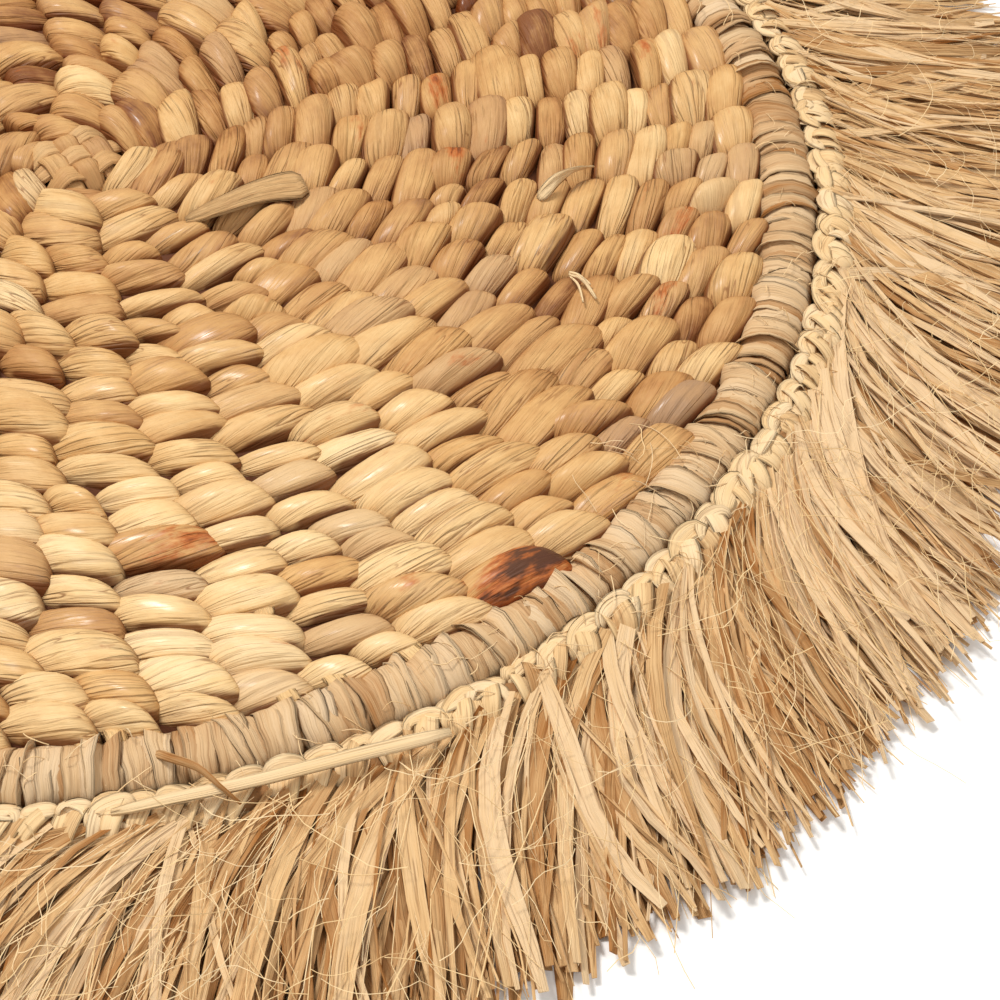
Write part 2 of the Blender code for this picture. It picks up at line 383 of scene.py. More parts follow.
def leaf_finish(colours):
    """Dry water hyacinth: creased along its length, varnished, straw to dark brown."""
    name = "Twined hyacinth"
    if name in bpy.data.materials:
        return bpy.data.materials[name]
    finish = Finish(name)
    grain = finish.attribute("grain", "Vector")
    height = finish.out(finish.node("ShaderNodeSeparateXYZ", None, {0: finish.place()}), 2)
    ends, rim = finish.attribute("ends"), finish.attribute("rim")
    creases = finish.noise(grain, (0.035, 0.60, 7.0))
    fibres = finish.noise(grain, (0.16, 5.0, 13.0), 2.0, 0.6)
    blotches = finish.noise(grain, (0.14, 0.26, 5.0), 3.0, 0.6)
    veins = abs(finish.noise(grain, (0.040, 0.85, 11.0), 1.0) - 0.5)
    where_veined = finish.noise(grain, (0.10, 0.30, 23.0), 1.0)
    patches = finish.noise(grain, (0.09, 0.42, 17.0), 4.0, 0.65)

    # The tone varies with the creases, fibres and blotches. The ends and rim terms make a stitch
    # darker towards its ends and sides, which is painted shade.
    tone = (
        finish.attribute("tone") + (creases - 0.5) * 0.34 + (fibres - 0.5) * 0.22
        + (blotches - 0.5) * 0.48 + ends * 0.18 + rim * 0.06 - 0.06
    )
    colour = finish.ramp(tone, (
        (0.00, colours.leaf_pale), (0.28, colours.leaf_light), (0.55, colours.leaf_gold),
        (0.80, colours.leaf_tan), (1.00, colours.leaf_brown),
    ))
    colour = finish.mix(colour, colours.leaf_ash, finish.attribute("ash"))
    soaked = patches + 0.50 * finish.attribute("stain") - 0.18 * rim
    stain = finish.mix(colours.stain, colours.stain_dark, finish.step(soaked, 0.80, 0.98))
    colour = finish.mix(colour, stain, 0.92 * finish.step(soaked, 0.64, 0.86))

    # Fine dark veins and folds, gathered towards the ends.
    gathered = finish.step(
        where_veined + 0.40 * ends + 0.20 * rim + finish.attribute("lined"), 0.58, 0.80
    )
    vein = 1.0 - finish.step(veins, 0.002, 0.019)
    groove = (0.96 * vein * gathered + 0.34 * finish.step(creases, 0.38, 0.28)).clamped()
    colour = finish.mix(colour, colours.leaf_brown, 0.66 * groove)

    # Painted shade in the seams: darker low down, near a stitch's sides, and where a stitch dives
    # under its neighbours.
    sunk = (
        1.0 - finish.step(height, 0.0030, 0.0058) + finish.step(rim, 0.77, 1.00)
        + 0.85 * finish.step(ends, 0.66, 0.94)
    ).clamped()
    colour = finish.mix(colour, shaded(colours.leaf_brown, (0.78, 0.56, 0.34)), 0.82 * sunk)
    relief = creases * 0.85 + fibres * 0.17 + finish.step(veins, 0.0, 0.09) * (0.07 + 0.15 * gathered)
    return finish.surface({
        "Base Color": colour,
        "Roughness": 0.40 + 0.22 * fibres,
        "Specular IOR Level": 0.20,
        "Coat Roughness": 0.28,
        "Coat Weight": finish.attribute("gloss") * finish.step(blotches, 0.36, 0.60) * (
            finish.step(fibres, 0.40, 0.58) * (1.0 - groove) * (1.0 - sunk)
        ),
        "Normal": finish.bump(relief, 0.0016),
    })


def raffia_finish(name, pale, dark, roughness, lined):
    """Matte raffia: fine ribs along each strip, pale to tan from strip to strip."""
    finish = Finish(name)
    grain = finish.attribute("grain", "Vector")
    ribs = finish.noise(grain, (0.06, 3.6, 7.0), 2.0, 0.6)
    lines = finish.noise(grain, (0.05, 1.9, 9.0))
    mottle = finish.noise(grain, (0.08, 0.4, 3.0))
    tone = finish.attribute("tone") + (ribs - 0.5) * 0.45 + (mottle - 0.5) * 0.55
    deep = shaded(dark, (0.50, 0.41, 0.32))
    lightest = tuple(Vector(pale) + (Vector((1.0, 0.92, 0.74)) - Vector(pale)) * 0.20)
    colour = finish.ramp(tone, ((0.0, lightest), (0.35, pale), (0.8, dark), (1.0, deep)))
    return finish.surface({
        "Base Color": finish.mix(colour, deep, lined * finish.step(lines, 0.42, 0.33)),
        "Roughness": roughness - 0.15 * ribs,
        "Specular IOR Level": 0.08,
        "Normal": finish.bump(ribs * 0.4 + lines * 0.6, 0.0006),
    })


def plain_finish(name, colour, roughness):
    """A plain ground with a faint mottle, for what lies under the fibres."""
    finish = Finish(name)
    mottle = finish.noise(finish.place(), 900.0, 3.0, 0.6)
    return finish.surface({
        "Base Color": finish.mix(tuple(part * 0.55 for part in colour), colour, mottle),
        "Roughness": roughness,
        "Normal": finish.bump(mottle, 0.0005, 0.5),
    })


def quarter_turn(axis):
    """Return a turn of 90 degrees about an axis."""
    return Matrix.Rotation(math.radians(90), 4, axis)


def finished_mesh(shape, name):
    """Write a bmesh to a new mesh, its faces in a fixed order, and free it."""
    def order(face):
        first, second, third = sorted(corner.index for corner in face.verts)[:3]
        return (first * 10_000 + second) * 10_000 + third

    shape.verts.index_update()
    shape.faces.sort(key=order)
    mesh = bpy.data.meshes.new(name)
    shape.to_mesh(mesh)
    shape.free()
    return mesh


def leaf_template(around, along):
    """Return a closed leaf form along X from 0 to 1, of unit radius, drawn from a sphere."""
    shape = bmesh.new()
    turn = Matrix.Translation((0.5, 0, 0)) @ Matrix.Diagonal((0.5, 1, 1, 1)) @ quarter_turn("Y")
    bmesh.ops.create_uvsphere(shape, u_segments=around, v_segments=along, radius=1, matrix=turn)
    bmesh.ops.recalc_face_normals(shape, faces=shape.faces)
    return finished_mesh(shape, "leaf")


def rod_template(sides, steps):
    """Return a closed rod along X from 0 to 1, of unit radius, extruded step by step."""
    shape = bmesh.new()
    bmesh.ops.create_circle(shape, cap_ends=True, radius=1, segments=sides, matrix=quarter_turn("Y"))
    end = shape.faces[:]
    for step in range(steps):
        grown = bmesh.ops.extrude_face_region(shape, geom=end)["geom"]
        if step:
            bmesh.ops.delete(shape, geom=end, context="FACES_ONLY")
        end = [part for part in grown if isinstance(part, bmesh.types.BMFace)]
        corners = list({corner for face in end for corner in face.verts})
        bmesh.ops.translate(shape, verts=corners, vec=(1 / steps, 0, 0))
    bmesh.ops.recalc_face_normals(shape, faces=shape.faces)
    return finished_mesh(shape, "rod")


def oval_ring(middle, half_width, half_height, centre, segments):
    """Return a closed ring of an oval section, spun round the mat's middle."""
    shape = bmesh.new()
    place = (
        Matrix.Translation((middle, 0, centre)) @ Matrix.Diagonal((half_width, 1, half_height, 1))
        @ quarter_turn("X")
    )
    bmesh.ops.create_circle(shape, cap_ends=False, radius=1, segments=segments, matrix=place)
    bmesh.ops.spin(shape, geom=shape.verts[:] + shape.edges[:], cent=(0, 0, 0), axis=(0, 0, 1),
                   angle=TURN, steps=180, use_merge=True)
    bmesh.ops.recalc_face_normals(shape, faces=shape.faces)
    return finished_mesh(shape, "ring")


def put(mesh, name, material, smooth=True, replaces=()):
    """Make a finished piece of a mesh: its material and the body that it rides on."""
    piece = bpy.data.objects.new(name, mesh)
    bpy.context.scene.collection.objects.link(piece)
    mesh.name = name
    mesh.materials.clear()
    mesh.materials.append(material)
    mesh.polygons.foreach_set("use_smooth", [smooth] * len(mesh.polygons))
    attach(piece, BODY)
    if replaces:
        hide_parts(*replaces)
    return piece


def unit(vectors):
    """Scale vectors to length one."""
    return vectors / np.maximum(np.linalg.norm(vectors, axis=-1, keepdims=True), 1e-9)


def ring_point(radius, azimuth, height):
    """Return points from radius, azimuth and height."""
    radius, azimuth, height = np.broadcast_arrays(radius, azimuth, height)
    return np.stack((radius * np.cos(azimuth), radius * np.sin(azimuth), height), axis=-1)


class Strands:
    """Copies of one small form, joined in a mesh, and the random draws that set them apart."""

    def __init__(self, template, count, seed=0):
        source = bpy.data.objects.new("template", template)
        bpy.context.scene.collection.objects.link(source)
        row = source.modifiers.new("Row", "ARRAY")
        row.count = count
        row.use_relative_offset = False
        graph = bpy.context.evaluated_depsgraph_get()
        self.mesh = bpy.data.meshes.new_from_object(source.evaluated_get(graph))
        bpy.data.objects.remove(source)
        bpy.data.meshes.remove(template)
        points = np.empty(len(self.mesh.vertices) * 3)
        self.mesh.vertices.foreach_get("co", points)
        self.points = points.reshape(count, -1, 3)
        self.t = self.points[..., 0]
        self.count = count
        self.draws = np.random.default_rng(seed)

    def near(self, middle, spread):
        """Draw a number round a middle for each copy."""
        return self.draws.normal(middle, spread, (self.count, 1))

    def between(self, low, high):
        """Draw a number between two others for each copy."""
        return self.draws.uniform(low, high, (self.count, 1))

    def picked(self, share):
        """Pick a share of the copies."""
        return self.draws.random((self.count, 1)) < share

    def shared(self, group, middle, spread):
        """Draw a number round a middle for each group of copies."""
        return self.draws.normal(middle, spread, group.max() + 1)[group]

    def lay(self, places):
        """Move the points to where they have been worked out."""
        self.mesh.vertices.foreach_set("co", places.astype(np.float32).ravel())
        self.mesh.update()

    def give(self, **values):
        """Store numbers or vectors at the points; a number for a copy goes to all its points."""
        for name, value in values.items():
            vector = np.ndim(value) == 3
            if not vector:
                value = np.broadcast_to(value, self.t.shape)
            kind, key = ("FLOAT_VECTOR", "vector") if vector else ("FLOAT", "value")
            attribute = self.mesh.attributes.new(name, kind, "POINT")
            attribute.data.foreach_set(key, np.asarray(value, dtype=np.float32).ravel())

    def give_grain(self, lengths, widths, seeds=None):
        """Store each point's place along and across its strip in millimetres, and a seed."""
        seeds = self.between(0, 40) if seeds is None else seeds
        along, across = self.t * lengths / MM, self.points[..., 1] * widths / MM
        self.give(grain=np.stack(np.broadcast_arrays(along, across, seeds), axis=-1))

    def follow(self, path, half_width, half_thickness, across=None, roll=0.0, lowest=None):
        """Bend the rods along their paths, flattened and rolled as given."""
        forward = unit(path(self.t + 0.004) - path(self.t - 0.004))
        side = np.cross((0.0, 0.0, 1.0), forward) if across is None else across
        side = unit(side - forward * np.sum(side * forward, axis=-1, keepdims=True))
        above = np.cross(forward, side)
        wide, thick = self.points[..., 1] * half_width, self.points[..., 2] * half_thickness
        aside = wide * np.cos(roll) - thick * np.sin(roll)
        raised = wide * np.sin(roll) + thick * np.cos(roll)
        places = path(self.t) + side * aside[..., None] + above * raised[..., None]
        if lowest is not None:
            places[..., 2] = np.maximum(places[..., 2], lowest)
        self.lay(places)


def spoke_azimuths(draws):
    """Return the azimuths of the gaps between stitches in each round, from the middle out."""
    first, evening = STITCHES_IN_ROUND[0], 0.35
    spokes = np.sort((np.arange(first) + draws.uniform(-0.15, 0.15, first)) / first * TURN)
    rounds = []
    for count in STITCHES_IN_ROUND:
        while len(spokes) < count:
            gaps = np.diff(np.append(spokes, spokes[0] + TURN)) * draws.uniform(0.9, 1.1, len(spokes))
            widest = int(np.argmax(gaps))
            spokes = np.insert(spokes, widest + 1, spokes[widest] + gaps[widest] / 2)
        for _ in range(3):
            middle = (np.roll(spokes, 1) + np.roll(spokes, -1)) / 2
            middle[0] -= math.pi
            middle[-1] += math.pi
            spokes = spokes + (middle - spokes) * evening
        jitter = TURN / count * 0.07
        rounds.append(spokes + draws.uniform(-jitter, jitter, count))
    return rounds


def near_marked(azimuths, radii):
    """Yield each marked stitch with the index of the stitch that lies nearest to it."""
    x, y = radii * np.cos(azimuths), radii * np.sin(azimuths)
    for mark in MARKED_STITCHES:
        angle, radius = math.radians(mark.azimuth), mark.radius * MM
        distance = np.hypot(x - radius * math.cos(angle), y - radius * math.sin(angle))
        yield int(np.argmin(distance)), mark


def paleness(azimuths, radii):
    """Return how much paler the leaf is in the palest parts of the mat, from 0 to 1."""
    x, y = radii * np.cos(azimuths), radii * np.sin(azimuths)
    return sum(
        pale * np.exp(-((x - east) ** 2 + (y - north) ** 2) / (2 * reach**2))
        for east, north, reach, pale in PALE_PATCHES
    )


def drift(azimuths, radii):
    """Return how far the rounds wander from true circles, most of all half way out."""
    fading, outermost, most = 0.040, 0.172, 1.5 * MM
    wide = np.clip(radii / fading, 0, 1) * np.clip((outermost - radii) / fading, 0, 1)
    return most * wide * np.sin(3 * azimuths + 40 * radii) * np.cos(azimuths - 30 * radii)


def stitch_rows(settings, below):
    """Work out where every stitch lies, how big it is and how it is coloured."""
    starts, spans, radii = [], [], []
    for number, spokes in enumerate(spoke_azimuths(np.random.default_rng(7))):
        gaps = np.diff(np.append(spokes, spokes[0] + TURN))
        starts.append(spokes + gaps / 2 * below)
        spans.append(gaps)
        opened = 2.0 * MM if number == 0 else 0.0
        radius = settings.first_round + number * settings.round_pitch + opened
        radii.append(np.full(len(spokes), radius))
    starts, spans, radii = (np.concatenate(part) for part in (starts, spans, radii))
    draws = np.random.default_rng(23 + below)

    def between(low, high):
        return draws.uniform(low, high, len(radii))

    def picked():
        return draws.random(len(radii))

    middles = starts + spans / 2
    # The leaf's tone is paler in the pale patches.
    tone = draws.normal(0.77, 0.09, len(radii)) - 0.58 * paleness(middles, radii)
    radii = radii + drift(middles, radii)
    tone = tone - 0.10 * np.exp(-((radii / 0.045) ** 2))
    kind = picked()
    tone = np.where(kind < 0.12, tone - between(0.08, 0.20), tone)
    tone = np.where(kind > 0.82, tone + between(0.10, 0.22), tone)
    tone = np.where(kind > 0.97, between(0.66, 0.80), tone)
    stain = np.where(picked() < 0.04, between(0.2, 0.5), between(0, 0.12))
    ash = np.where(picked() < 0.12, between(0.3, 0.7), between(0, 0.15))
    plump = np.clip(draws.normal(1.06, 0.20, len(radii)), 0.86, 1.55)
    stretch = 1 + 0.5 * (plump - 1) + draws.normal(0, 0.07, len(radii))
    if not below:
        for index, mark in near_marked(middles, radii):
            tone[index], stain[index], ash[index] = mark.tone, mark.stain, mark.ash
            plump[index], stretch[index] = mark.plump, mark.stretch
    return middles, spans * radii, radii, tone, stain, ash, plump, stretch


def creases_of(stitches, across, lift, around):
    """Return how far the ridges, splits and gathers raise or sink each point of the stitches."""
    count, t, draws = stitches.count, stitches.t, stitches.draws
    column = np.rint(np.degrees(np.arctan2(lift, across)) / (360 / around)).astype(int) % around
    ridges = draws.normal(0, 0.48, (count, around)) * MM
    pleat = 0.14 * MM
    ridges[:, ::2] += pleat
    ridges[:, 1::2] -= pleat
    split = np.flatnonzero(draws.random(count) < 0.45)
    on_top = around // 4 + draws.integers(-1, 2, len(split))
    ridges[split, on_top] -= draws.uniform(0.5, 1.4, len(split)) * MM
    gathers = draws.normal(0, 0.80, (count, around)) * MM
    crease = np.take_along_axis(ridges, column, axis=1)
    return crease + np.take_along_axis(gathers, column, axis=1) * np.abs(2 * t - 1) ** 1.5


def shape_stitches(settings, around, along, chosen, below=False):
    """Return the mesh of the stitches of some rounds, lying on top or underneath."""
    rows = stitch_rows(settings, below)
    number = np.rint((rows[2] - settings.first_round) / settings.round_pitch)
    kept = np.flatnonzero((number >= chosen[0]) & (number < chosen[1]))
    middles, lengths, radii, tone, stain, ash, plump, stretch = (row[kept, None] for row in rows)
    stitches = Strands(leaf_template(around, along), len(kept), 101 + chosen[0] + 50 * below)
    near, between, t = stitches.near, stitches.between, stitches.t

    # Where each point lies round the stitch's section: across it, and above or below its edge.
    aside, above = stitches.points[..., 1], stitches.points[..., 2]
    spread, pole = np.hypot(aside, above), 0.01
    off_pole, spread = spread > pole, np.maximum(spread, pole)
    across = np.where(off_pole, -aside / spread, 0.0)
    lift = np.where(off_pole, above / spread, 0.0)
    leaning = np.clip(t, 0, 1) ** between(0.78, 1.25)
    shares, *forms = zip(*STITCH_STATIONS)
    half_width, crown, edge = (np.interp(leaning, shares, form) * MM for form in forms)
    half_width = half_width * plump * settings.stitch_plump
    crown = edge + (crown - edge) * (1 + (plump - 1) * 0.6) * near(1.0, 0.07)
    full_length = lengths * (1 + settings.overlap) * stretch

    fade = np.clip(np.sin(np.pi * np.clip(t, 0.02, 0.98)) * 1.6, 0, 1)
    crease = creases_of(stitches, across, lift, around) * fade * np.clip(lift, 0, 1) ** 0.5
    roll = near(0, 0.55) * MM
    lifted = np.clip(near(0, 0.35), -0.8, 0.6) * MM
    belly = 2.2 * MM
    height = np.where(
        lift >= 0, edge + (crown - edge) * np.abs(lift) ** 0.55, edge - belly * np.abs(lift) ** 0.8
    )
    height = height + crease + (roll * across + lifted) * fade
    if below:
        height = np.clip(0.2 * MM + (USUAL_CROWN - height) * 0.80, WRAP_CLEARANCE, UNDERSIDE_TOP)

    slide = near(0, 0.50) * MM * (1 + 0.8 * np.exp(-((radii / 0.05) ** 2)))
    bend = near(0, 0.5) * MM
    slant = (0.5 + 0.5 * np.cos(middles + math.radians(80))) ** 3
    swing = settings.swing * between(0.3, 1.5)
    steep = 0.32 * slant + between(0.00, 0.34)
    run = (t - 0.5) * full_length + steep * across * half_width
    radius = radii + slide - swing * np.cos(np.pi * t) + bend * np.sin(np.pi * t) + across * half_width
    radius = radius - 0.25 * run**2 / radii  # half of what would bend it round the ring
    outward, onward = (ring_point(1.0, middles + turn, 0.0) for turn in (0.0, math.pi / 2))
    places = outward * radius[..., None] + onward * run[..., None]
    places[..., 2] = np.maximum(height, CLEARANCE)
    stitches.lay(places)
    if below:
        stitches.mesh.flip_normals()

    seeds = between(0, 40)
    half_girth = 4.7 * MM
    grain_across = (1 - np.arccos(np.clip(across, -1, 1)) / np.pi * 2) * half_girth
    grain_across = grain_across + near(1.2, 1.0) * MM * (t - 0.5)
    grain = (t * full_length / MM, grain_across / MM * plump, seeds)
    stitches.give(
        grain=np.stack(np.broadcast_arrays(*grain), axis=-1),
        tone=tone,
        ash=ash,
        lined=near(-0.05, 0.13),
        gloss=np.clip(near(0.10, 0.42) + 0.45 * paleness(middles, radii), 0, 1),
        stain=stain * np.clip(0.30 + 1.1 * t + 0.35 * across, 0, 1),
        ends=np.abs(2 * np.clip(t, 0, 1) - 1) ** 2,
        rim=np.clip((np.abs(across) * half_width / plump**0.8 / MM - 1.6) / 2.5, 0, 1),
    )
    return stitches.mesh


class PLACEMAT_OT_foundation(Operator):
    """Lay the flat sheet of crossed spokes that the twining covers"""
    bl_idname = "placemat.foundation"
    bl_label = "Foundation"

    def execute(self, context):
        shape = bmesh.new()
        top, thickness = 4.3 * MM, 0.8 * MM
        bmesh.ops.create_circle(shape, cap_ends=True, radius=DISC_RADIUS - 1 * MM, segments=160)
        face = shape.faces[:]
        for _ in range(6):
            bmesh.ops.inset_region(shape, faces=face, thickness=20 * MM, use_even_offset=True)
        bmesh.ops.translate(shape, verts=shape.verts, vec=(0, 0, top))
        bmesh.ops.solidify(shape, geom=shape.faces[:], thickness=thickness)
        bmesh.ops.recalc_face_normals(shape, faces=shape.faces)
        # The sheet shows only in the gaps between the stitches. Its dark brown is partly the spokes'
        # own colour and partly painted shade of those gaps.
        dark = tuple(Vector(context.scene.placemat_colours.leaf_brown) * 0.80)
        put(finished_mesh(shape, "foundation"), "foundation",
            plain_finish("Shaded spokes", dark, 0.8))
        return {"FINISHED"}


class PLACEMAT_OT_twined_rounds(Operator):
    """Twine the stitches of every round on the mat's upper side"""
    bl_idname = "placemat.twined_rounds"
    bl_label = "Twined rounds"

    def execute(self, context):
        material = leaf_finish(context.scene.placemat_colours)
        for name, chosen in TWINED_PIECES.items():
            mesh = shape_stitches(context.scene.placemat_twining, 12, 6, chosen)
            replaced = ("woven_disc",) if chosen[0] == 0 else ()
            piece = put(mesh, name, material, replaces=replaced)
            rounding = piece.modifiers.new("Rounded", "SUBSURF")
            rounding.levels = rounding.render_levels = 1
        return {"FINISHED"}


class PLACEMAT_OT_underside(Operator):
    """Twine the plainer stitches of the mat's underside"""
    bl_idname = "placemat.underside"
    bl_label = "Underside"

    def execute(self, context):
        every = (0, len(STITCHES_IN_ROUND))
        mesh = shape_stitches(context.scene.placemat_twining, 6, 6, every, below=True)
        material = leaf_finish(context.scene.placemat_colours)
        put(mesh, "underside_rounds", material)
        return {"FINISHED"}


def spline(t, share, values):
    """Run smoothly through values given at shares of the length."""
    t = np.clip(t, -0.02, 1.02)
    index = np.clip(np.searchsorted(share, t, side="right") - 1, 0, len(share) - 2)
    local = (t - share[index]) / (share[1] - share[0])
    padded = np.concatenate(([2 * values[0] - values[1]], values, [2 * values[-1] - values[-2]]))
    before, first, second, after = (padded[index + shift] for shift in range(4))
    return 0.5 * (
        2 * first + (second - before) * local
        + (2 * before - 5 * first + 4 * second - after) * local**2
        + (3 * (first - second) + after - before) * local**3
    )


def splines(t, strips):
    """Return the three measures of each strip's stops, run through smoothly."""
    rows = []
    for row, stops in zip(t, strips):
        share = np.linspace(0, 1, len(stops))
        rows.append([spline(row, share, part) for part in np.array(stops).T])
    return np.stack(rows, axis=1)


def lay_ribbons(name, ribbons, material):
    """Make one piece of loose ribbons, each a list of radius, azimuth and height stops."""
    strips = Strands(rod_template(6, 14), len(ribbons))
    stops, *looks = zip(*ribbons)
    widths, tones, ashes, twists, tilts, flares = (np.array(column)[:, None] for column in looks)

    def path(t):
        radius, azimuth, height = splines(t, stops)
        return ring_point(radius * MM, np.radians(azimuth), height * MM)

    widths = widths * MM / 2
    t = strips.t
    taper = (1 - 0.40 * np.abs(2 * t - 1) ** 12) * (1 - flares * (1 - t))
    strips.follow(path, widths * taper, 0.22 * MM + widths * 0.06, roll=np.radians(tilts + twists * t))
    strips.give_grain(0.03, widths, np.arange(len(ribbons))[:, None] * 3.7)
    strips.give(tone=tones, ash=ashes)
    put(strips.mesh, name, material)


def weave_middle():
    """Return the stops of the plain-woven middle's strips, laid over and under each other."""
    pitch, strips = 5.6, []
    for crossing, direction in enumerate((math.radians(22), math.radians(112))):
        for lane in (-1, 0, 1):
            stops = []
            for step in range(-4, 5):
                along, aside = step * pitch / 2, lane * pitch
                x = along * math.cos(direction) - aside * math.sin(direction)
                y = along * math.sin(direction) + aside * math.cos(direction)
                over = math.cos(math.pi * along / pitch) * (1 if (lane + crossing) % 2 == 0 else -1)
                sunk = max(0, abs(along) - 7) * 0.8
                stops.append((x, y, 8.8 + over - sunk))
            strips.append(stops)
    return strips


class PLACEMAT_OT_middle_weave(Operator):
    """Weave the small square of strips in the middle, where the spokes cross"""
    bl_idname = "placemat.middle_weave"
    bl_label = "Middle weave"

    def execute(self, context):
        stops = weave_middle()
        strips = Strands(rod_template(8, 16), len(stops), 5)

        def path(t):
            return np.stack(splines(t, stops), axis=-1) * MM

        width = 3.0 * MM * (1 - 0.3 * np.abs(2 * strips.t - 1) ** 8)
        strips.follow(path, width, WEAVE_THICKNESS)
        strips.give_grain(0.021, 2.5 * MM)
        strips.give(tone=strips.between(0.60, 0.84), ash=strips.between(0.1, 0.4))
        material = leaf_finish(context.scene.placemat_colours)
        put(strips.mesh, "middle_weave", material)
        return {"FINISHED"}


class PLACEMAT_OT_border_coil(Operator):
    """Wrap the border coil with bunches of raffia strips"""
    bl_idname = "placemat.border_coil"
    bl_label = "Border coil"

    def execute(self, context):
        border, colours = context.scene.placemat_border, context.scene.placemat_colours
        inner, outer = DISC_RADIUS + 0.3 * MM, BORDER_CORNER.x
        middle, half_width = (inner + outer) / 2, (outer - inner) / 2
        half_height = BORDER_CORNER.z / 2
        wrapped = 1.3 * MM
        core = oval_ring(middle, half_width - wrapped, half_height - wrapped, half_height, 14)
        # The core shows only in the gaps between the wraps. Its darkened wrap colour is painted shade
        # of those gaps.
        shade = plain_finish("Shaded raffia", shaded(colours.wrap, (0.62, 0.44, 0.27)), 0.85)
        put(core, "border_core", shade, replaces=("border_coil",))

        strips = Strands(rod_template(6, 16), border.wraps * border.strips, 31)
        near, between, t = strips.near, strips.between, strips.t
        bunch, rank = np.divmod(np.arange(strips.count)[:, None], border.strips)
        rank = rank - (border.strips - 1) / 2
        pitch = TURN * middle / border.wraps
        lean = strips.shared(bunch, 0.2, 0.65) * MM
        lean = lean + near(0, 0.85) * MM
        bulge = strips.shared(bunch, 0, 0.3) * MM
        start = bunch * TURN / border.wraps
        aside = near(0, 0.22) * MM
        raised = (between(-0.1, 0.65) - 0.30 * rank**2) * MM
        wobble = between(0, TURN)

        def turn_at(t):
            turn = math.radians(270) - TURN * t
            return turn, (1 - np.cos(turn)) / 2

        def path(t):
            turn, inward = turn_at(t)
            pinch = 0.74 + 0.30 * inward**0.8
            shift = (
                (rank * pitch / border.strips * 0.98 + aside) * pinch
                + lean * (0.5 - inward) + 0.18 * MM * np.sin(5 * turn + wobble)
            )
            swell = raised + bulge * np.sin(turn) - 0.5 * MM * (1 - pinch)
            return ring_point(
                middle + (half_width - 0.5 * MM + swell) * np.cos(turn),
                start + shift / middle,
                half_height + (half_height - 0.7 * MM + swell) * np.sin(turn),
            )

        tangent = ring_point(1.0, start + t * 0 + math.pi / 2, 0.0)
        widths = border.strip_width / 2 * between(0.8, 1.35)
        roll = near(0, 0.22) + near(0, 0.24) * np.sin(3 * t + wobble) + 0.16 * rank
        strips.follow(path, widths * (0.70 + 0.42 * turn_at(t)[1]), WRAP_THICKNESS, across=tangent,
                      roll=roll, lowest=WRAP_CLEARANCE)
        strips.give_grain(0.04, widths)
        tone = strips.shared(bunch, 0.36, 0.12) + near(0, 0.09)
        strips.give(tone=np.clip(tone, 0.05, 0.95))
        material = raffia_finish("Wrapped raffia", colours.wrap, colours.straw_dark, 0.72, 0.34)
        put(strips.mesh, "border_wraps", material)
        return {"FINISHED"}


def knot_azimuth(numbers, knots):
    """Return where knots sit round the cord: they are wider apart on two sides of the mat."""
    even = numbers * TURN / knots
    return even + 0.15 * np.sin(2 * (even + math.radians(40)))


